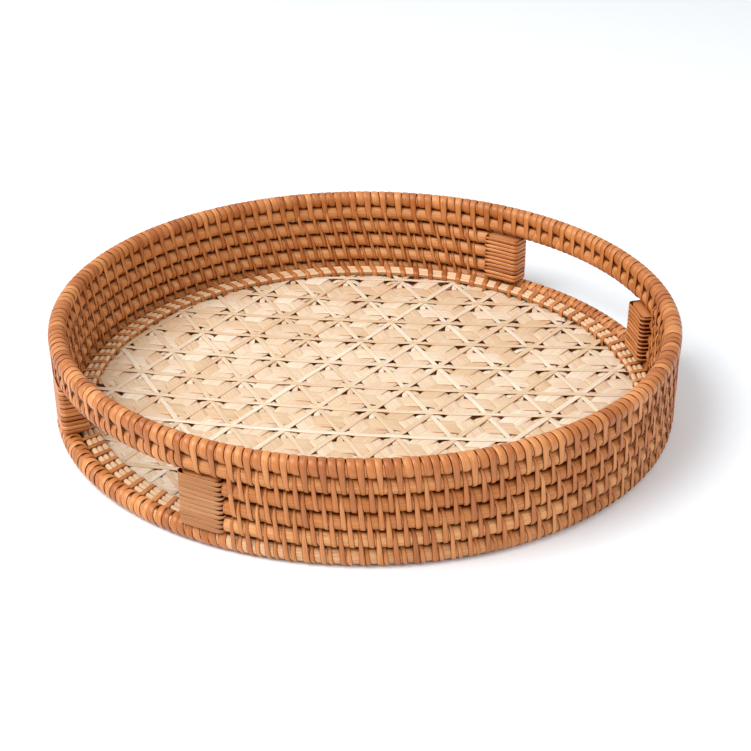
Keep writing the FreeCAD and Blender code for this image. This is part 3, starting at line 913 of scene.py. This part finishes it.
def weave_strip(along, offset, half, thick, height):
    """One strip at an offset from the centre, cut at the edge, with a height for each point."""
    normal = np.array([-along[1], along[0]])
    t = np.arange(-REACH, REACH, STEP) * MM
    wander = dice.uniform(0.2, 0.6) * MM * np.sin(t / (45 * MM) + dice.uniform(0, 6.3))
    points = t[:, None] * along + (offset + wander)[:, None] * normal
    lies = bowed(points)
    widest = np.maximum(*[np.linalg.norm(lies + side * half * normal, axis=1) for side in (-1.15, 1.15)])
    inside = np.flatnonzero(widest < WEAVE_EDGE)
    if len(inside) < 8:  # too short a corner to be worth a strip
        return None
    kept = slice(inside[0], inside[-1] + 1)
    lies, t = lies[kept], t[kept]
    z = weave_z + height(points[kept]) - thick / 2
    wavy = 1 + 0.04 * np.sin(t / (9 * MM) + dice.uniform(0, 6.3))
    return {"centre": np.column_stack([lies, z]), "out": np.tile([0.0, 0.0, 1.0], (len(t), 1)),
            "half": half * dice.uniform(0.92, 1.06) * wavy, "thick": thick, "closed": False,
            "tone": dice.random()}


def weave_set(name, node, along, first_offset, spacing, half, thick, stray, height):
    """All strips of one set: as many as fit on the floor, each up to `stray` mm out of its place."""
    strips = []
    for number in range(-40, 41):
        offset = first_offset + number * spacing
        if abs(offset) < REACH * MM:
            offset += dice.uniform(-stray, stray) * MM
            strips.append(weave_strip(along, offset, half, thick, height))
    keep(strips_mesh(name, [strip for strip in strips if strip], FLAT, cane_pale), "woven_cane", node)


# %% [markdown]
# ## Over and under
# A wide strip goes over the second set and under the third all along, as a soft square wave. The
# narrow strips along the rows of stars lie on top all the way, just clear of the wide strips where
# two of them cross. The narrow strips across the rows come up only at the stars. Six narrow strips
# cross in each star, one on another, so each has its own place in the pile, or they would cut
# through each other.

# %% Weave the floor
WIDE_RISE = 0.42 * MM  # a wide strip's rise over one crossing and fall under the next
OVER_ALL = 1.05 * MM  # a narrow strip's height over two crossed wide strips
LEVEL = 0.31 * MM  # between neighbours in the pile at a star's centre
ROW_LEVELS = (4.2, 3.4, 2.6)  # places in that pile of the strips along the rows
CROSS_LEVELS = (1.7, 0.8, -0.1)  # and of the strips across them
DIVE = [0, 2.5, 5.0, 7.4, 9.8]  # millimetres from a star along a strip across, as it goes down
DIVE_HEIGHTS = (0.3 * MM, 0.1 * MM)  # its height at the third and fourth of them


def weave_floor():
    """Three directions, each with a set of wide strips and two sets of narrow ones."""
    for number, letter in enumerate("abc"):
        along = direction(number)
        normal = np.array([-along[1], along[0]])
        aside, ahead = STAR @ normal, STAR @ along
        second = (number + 1) % 3
        star_level, cross_level = ROW_LEVELS[number] * LEVEL, CROSS_LEVELS[number] * LEVEL

        def wide(points):
            """Over one set and under the other, all the way."""
            return WIDE_RISE * square_wave(phase_of(points, second))

        def narrow(points):
            """In its place in the pile at a star, and just over the crossed wide strips between."""
            crossing = nearness(phase_of(points, second), 0.2, 0.36)
            return star_level + (OVER_ALL - star_level) * crossing

        def cross(points):
            """Up at the star, down under the wide strips of its own set and the crossing behind."""
            row = (points - STAR) @ normal / ROW
            shift = (points - STAR) @ along / (ROW / math.sqrt(3))
            star_here = np.abs(np.round(row) + np.round(shift)) % 2 == 0
            away = np.abs(row - np.round(row)) * ROW / MM
            near = np.interp(away, DIVE, [cross_level, cross_level, *DIVE_HEIGHTS, -OVER_ALL])
            return np.where(star_here, near, -OVER_ALL)

        weave_set(f"weave_wide_{letter}", f"wide_strips_{letter}", along, aside + ROW / 2, ROW, WIDE_HALF,
                  WIDE_THICK, 0.5, wide)
        weave_set(f"weave_rows_{letter}", f"star_strips_{letter}", along, aside, ROW, NARROW_HALF,
                  NARROW_THICK, 0.9, narrow)
        weave_set(f"weave_cross_{letter}", f"cross_strips_{letter}", -normal, ahead, ROW / math.sqrt(3),
                  CROSS_HALF, NARROW_THICK, 0.9, cross)


weave_floor()

# %% [markdown]
# ## The floor it stands on
# A wide sheet of white paper, a little cool. It is stage and not part of the tray. Under the weave it
# carries a painted warm brown shade, which is a choice and not a thing that was seen: the small gaps of the
# real weave look warm and dark, and over plain white they would look grey and bright.

# %% Lay the paper
PAPER_SIZE = 6  # metres
# the white paper, and the warm brown shade painted on it under the weave
PAPER, WARM_SHADE_UNDER_TRAY = "#F3F7FB", "#E0A468"
PAINTED_SHADE_ENDS = (0.165, 0.176)  # metres from the tray's axis, where the painted shade fades out under the wall


def lay_paper():
    """The paper, at the height that the tray stands on."""
    bpy.ops.mesh.primitive_plane_add(size=PAPER_SIZE, location=(0, 0, cad_box[0][2]))
    floor = bpy.context.object
    floor.name = "floor"
    paper = bpy.data.materials.new("white_paper")
    paper.use_nodes = True
    tree = paper.node_tree
    shader = tree.nodes["Principled BSDF"]
    shader.inputs["Roughness"].default_value = 0.9
    place = add(tree, "ShaderNodeTexCoord").outputs["Object"]
    away = add(tree, "ShaderNodeVectorMath", {"operation": "LENGTH"}, i0=place).outputs["Value"]
    shade = add(tree, "ShaderNodeMapRange", {"interpolation_type": "SMOOTHSTEP"}, Value=away,
                From_Min=PAINTED_SHADE_ENDS[0], From_Max=PAINTED_SHADE_ENDS[1]).outputs[0]
    # painted warm brown shade under the weave, white paper further out
    tree.links.new(mix(tree, shade, linear(WARM_SHADE_UNDER_TRAY), linear(PAPER)), shader.inputs["Base Color"])
    floor.data.materials.append(paper)
    print("paper:", PAPER_SIZE, "m wide")


lay_paper()

# %% [markdown]
# ## The viewer
# The tray is seen from the front left and from above, at arm's length and a bit, through a lens
# somewhat longer than normal, so that the near side is only a little larger than the far side.

# %% Place the camera
VIEW_TURN = -37.2  # the viewer stands this far round from facing +Y, in degrees
RISE = 27.066  # degrees above the table
DISTANCE = 0.902  # metres from the point that is looked at
AIM_HEIGHT = 0.030  # metres above the table
LENS, FILM = 69.95, 36  # millimetres
SHIFT = (0.0139, -0.0353)


def place_camera():
    """A camera that looks at a point on the tray's axis."""
    data = bpy.data.cameras.new("viewer")
    camera = bpy.data.objects.new("viewer", data)
    bpy.context.scene.collection.objects.link(camera)
    away = math.radians(VIEW_TURN - 90)
    up = math.radians(RISE)
    camera.location = (DISTANCE * math.cos(up) * math.cos(away), DISTANCE * math.cos(up) * math.sin(away),
                       AIM_HEIGHT + DISTANCE * math.sin(up))
    camera.rotation_euler = (math.radians(90 - RISE), 0, math.radians(VIEW_TURN))
    data.lens = LENS
    data.sensor_width = FILM
    data.shift_x, data.shift_y = SHIFT
    bpy.context.scene.camera = camera
    print("camera:", [round(value, 3) for value in camera.location])


place_camera()

# %% [markdown]
# ## Light
# A white tent of light all round, one large soft lamp from the upper left, which lays the shadow to
# the right, and a weak one from the front. The soft light keeps the gaps between the stitches dark
# without hard shadows on the floor.

# %% Light the tray
TENT = 0.66


def tent():
    """Even white light from everywhere."""
    world = bpy.data.worlds.new("studio")
    bpy.context.scene.world = world
    world.use_nodes = True
    background = world.node_tree.nodes["Background"]
    background.inputs["Color"].default_value = (1, 1, 1, 1)
    background.inputs["Strength"].default_value = TENT


def lamp(name, place, size, power):
    """A round lamp, size in metres and power in watts, that shines at the foot of the tray's axis."""
    data = bpy.data.lights.new(name, "AREA")
    data.shape = "DISK"
    data.size = size
    data.energy = power
    thing = bpy.data.objects.new(name, data)
    bpy.context.scene.collection.objects.link(thing)
    thing.location = place
    thing.rotation_euler = (-Vector(place)).to_track_quat("-Z", "Y").to_euler()
    print("lamp:", name, power, "W")


def seen(right, back, up):
    """A place given as metres to the viewer's right, away from the viewer, and up."""
    turn = math.radians(VIEW_TURN)
    x = right * math.cos(turn) - back * math.sin(turn)
    y = right * math.sin(turn) + back * math.cos(turn)
    return x, y, up


tent()
lamp("key", seen(-1.1, -0.4, 1.7), size=1.6, power=40)
lamp("fill", seen(0.5, -1.3, 1.2), size=1.2, power=6)
bpy.context.scene.view_settings.view_transform = "Standard"
